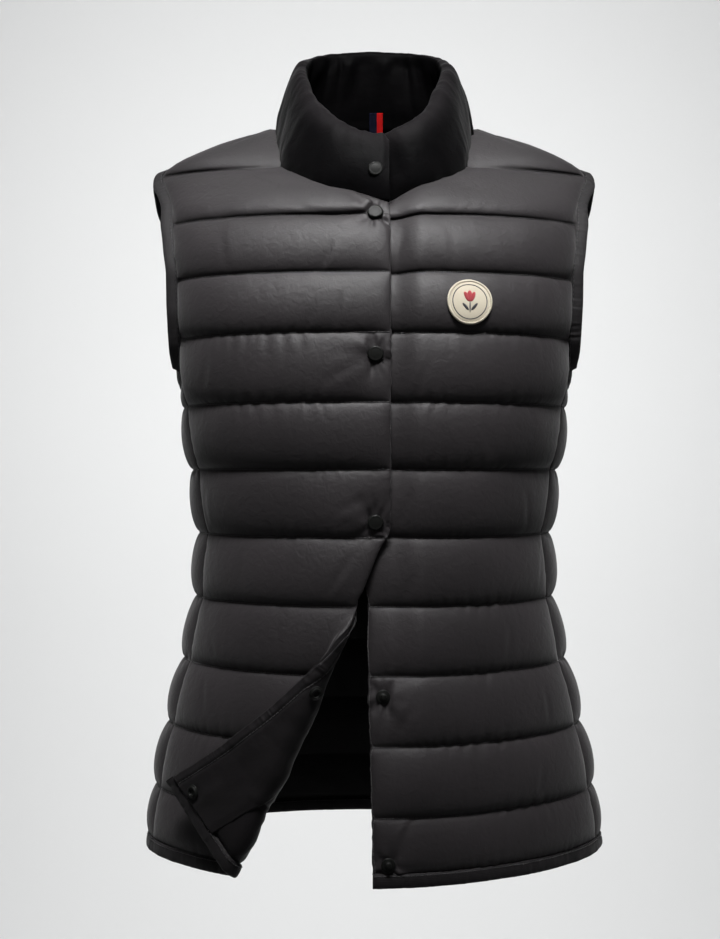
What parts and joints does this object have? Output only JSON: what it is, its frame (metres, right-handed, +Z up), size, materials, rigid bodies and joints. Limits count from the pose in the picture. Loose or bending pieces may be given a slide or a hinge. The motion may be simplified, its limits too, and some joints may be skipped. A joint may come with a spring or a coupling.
{
  "type": "puffer vest",
  "caption": "Women's quilted puffer vest with a stand collar, snap front, open armholes and a turned-back front corner, worn shape with nobody in it.",
  "frame": {"origin": "between the shoulders, level with the neck seam, where the wearer's shoulders hold the vest up", "axes": "+Z up the body, -Y out of the front, +X to the wearer's left, which is the viewer's right"},
  "size_m": [0.3928, 0.2583, 0.6975],
  "materials": {
    "shell": "fine black nylon, soft sheen",
    "binding": "black elastic tape",
    "lining": "black nylon lining",
    "loop_tape": "woven tape in navy and red",
    "badge_cloth": "cream embroidered twill",
    "snap": "black lacquered snap"
  },
  "bodies": {
    "root": {"front_right": "shell", "front_left": "shell", "back": "shell", "collar": "shell", "armhole_binding_right": "binding", "armhole_binding_left": "binding", "hem_binding_front_right": "binding", "hem_binding_front_left": "binding", "hem_binding_back": "binding", "facing_front_right": "lining", "neck_loop": "loop_tape", "badge": "badge_cloth", "snap_cap_1": "snap", "snap_cap_2": "snap", "snap_cap_3": "snap", "snap_cap_4": "snap", "snap_socket_5": "snap", "snap_stud_5": "snap", "snap_socket_6": "snap", "snap_stud_6": "snap"}
  },
  "joints": []
}
